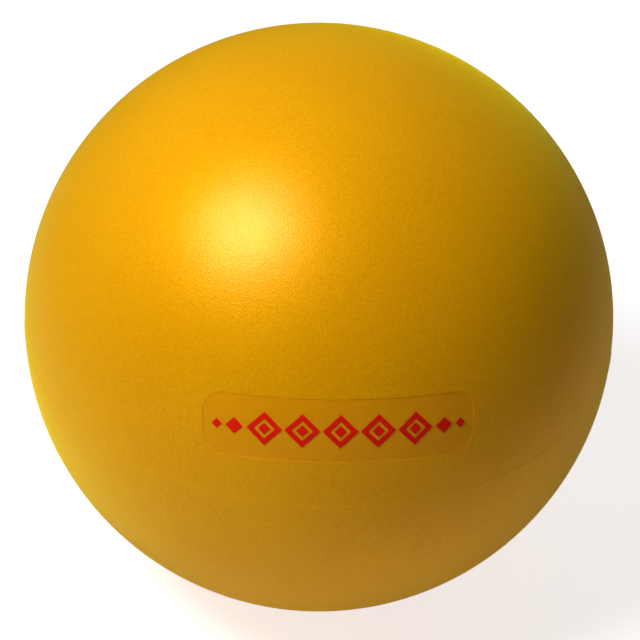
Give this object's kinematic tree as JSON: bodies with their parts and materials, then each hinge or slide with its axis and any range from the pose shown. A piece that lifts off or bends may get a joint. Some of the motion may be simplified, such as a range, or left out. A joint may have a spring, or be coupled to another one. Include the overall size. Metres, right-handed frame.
{
  "type": "volleyball",
  "caption": "Soft moulded vinyl volleyball: hollow yellow skin with a fine parting line, a clear label film lying flush in it, a fused valve seat and a push-in stopper that pulls out.",
  "frame": {"origin": "centre of the ball", "axes": "+Z is the mould's axis, square to the parting line; the label faces -Y, a little above the parting line; the valve faces +Y, diametrically opposite the label; +X is to the right as the label is read"},
  "size_m": [0.2104, 0.2104, 0.21],
  "materials": {
    "skin_vinyl": "satin",
    "seat_vinyl": "satin",
    "stopper_plastic": "satin",
    "clear_film": "satin",
    "print_ink": "satin"
  },
  "bodies": {
    "ball": {"ball_skin": "skin_vinyl", "valve_seat": "seat_vinyl", "label_film": "clear_film"},
    "stopper": {"valve_stopper": "stopper_plastic"}
  },
  "joints": [
    {"name": "stopper_pull", "type": "slide", "parent": "ball", "child": "stopper", "axis": [0, 0.9641, -0.2656], "range_m": [0, 0.016]}
  ]
}
